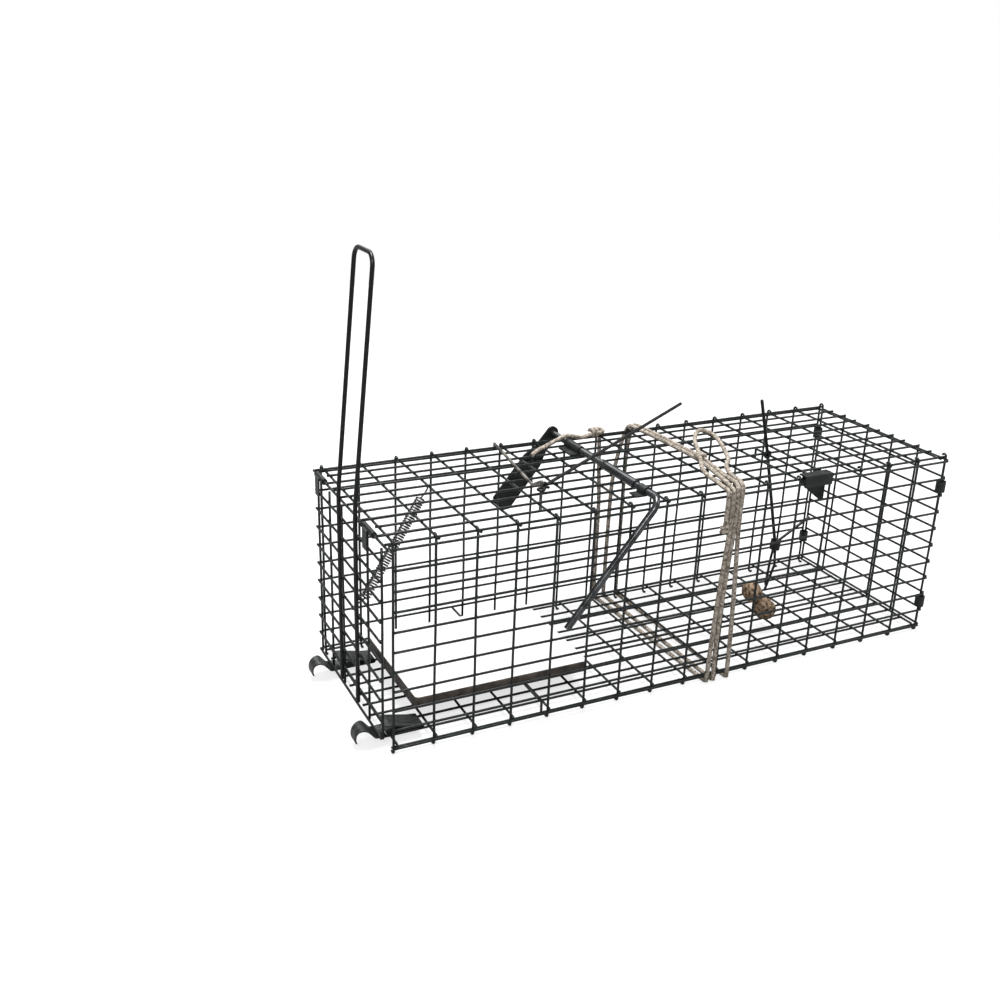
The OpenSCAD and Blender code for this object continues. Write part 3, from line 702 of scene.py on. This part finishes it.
# ---------------------------------------------------------------- carried-over pieces
KEPT = {
    "hinge_wire": MESH, "treadle_pivot": MESH, "lever_pivot": MESH, "corner_clips": BLACK_STRIP,
    "lever_bracket": BLACK_STRIP, "hinge_sleeve_near": BLACK_STRIP, "hinge_sleeve_far": BLACK_STRIP,
    "latch_clip_near": STRIP, "latch_clip_far": STRIP, "latch_finger_near": STRIP,
    "latch_finger_far": STRIP, "crank_rod": ROD, "crank_tube": ROD, "crank_strap": BLACK_STRIP,
    "crank_saddle_near": BLACK_STRIP, "crank_saddle_far": BLACK_STRIP, "trigger_bracket": GREY_WIRE,
    "trigger_link": BLACK, "trigger_rod": BLACK, "bait_lever": BLACK, "bait_crimp": BLACK,
    "bait_hook": BLACK}
for node, mat in KEPT.items():
    o = nodes[node]
    o.data.materials.clear()
    o.data.materials.append(mat)


# ---------------------------------------------------------------- stage and light
def seen_by_camera(nt, otherwise, directly):
    """Socket that gives one value to what the camera sees directly and another elsewhere."""
    path = nt.nodes.new("ShaderNodeLightPath")
    value = nt.nodes.new("ShaderNodeMapRange")
    value.inputs["To Min"].default_value = otherwise
    value.inputs["To Max"].default_value = directly
    nt.links.new(path.outputs["Is Camera Ray"], value.inputs["Value"])
    return value.outputs["Result"]


FLOOR_HALF = 1.3
FLOOR_BASE = 0.3
FLOOR_SEEN = 0.72
SKY_LIGHT, SKY_SEEN = 0.33, 1


def floor():
    """White sweep: bright where it is seen, dim as a light on the dark wires."""
    m = bpy.data.materials.new("floor")
    m.use_nodes = True
    bsdf = m.node_tree.nodes["Principled BSDF"]
    bsdf.inputs["Base Color"].default_value = (FLOOR_BASE, FLOOR_BASE, FLOOR_BASE, 1)
    bsdf.inputs["Roughness"].default_value = 0.9
    bsdf.inputs["Specular IOR Level"].default_value = 0
    bsdf.inputs["Emission Color"].default_value = (1, 1, 1, 1)
    m.node_tree.links.new(seen_by_camera(m.node_tree, 0, FLOOR_SEEN),
                          bsdf.inputs["Emission Strength"])
    me = bpy.data.meshes.new("floor")
    s = FLOOR_HALF
    me.from_pydata([(-s, -s, 0), (s, -s, 0), (s, s, 0), (-s, s, 0)], [], [(0, 1, 2, 3)])
    me.materials.append(m)
    o = bpy.data.objects.new("floor", me)
    bpy.context.collection.objects.link(o)


def area(name, pos, target, size, power):
    data = bpy.data.lights.new(name, "AREA")
    data.size = size
    data.energy = power
    o = bpy.data.objects.new(name, data)
    o.location = pos
    o.rotation_euler = (Vector(target) - Vector(pos)).to_track_quat("-Z", "Y").to_euler()
    bpy.context.collection.objects.link(o)


def sky():
    """Even white world: bright where it is seen, dim as a light."""
    world = bpy.data.worlds.new("world")
    world.use_nodes = True
    nt = world.node_tree
    background = nt.nodes["Background"]
    background.inputs["Color"].default_value = (1, 1, 1, 1)
    nt.links.new(seen_by_camera(nt, SKY_LIGHT, SKY_SEEN), background.inputs["Strength"])
    bpy.context.scene.world = world


floor()
sky()
area("key", (-1.1, -1.4, 1.5), (0, 0, 0.05), 0.6, 24)
area("fill", (1.6, -0.7, 1.3), (0, 0, 0.05), 0.9, 8)
area("back", (0.2, 1.8, 1.6), (0, 0, 0.05), 1.2, 13)
area("top", (0, 0.2, 2.1), (0, 0, 0), 0.8, 62)
bpy.context.scene.view_settings.view_transform = "Standard"
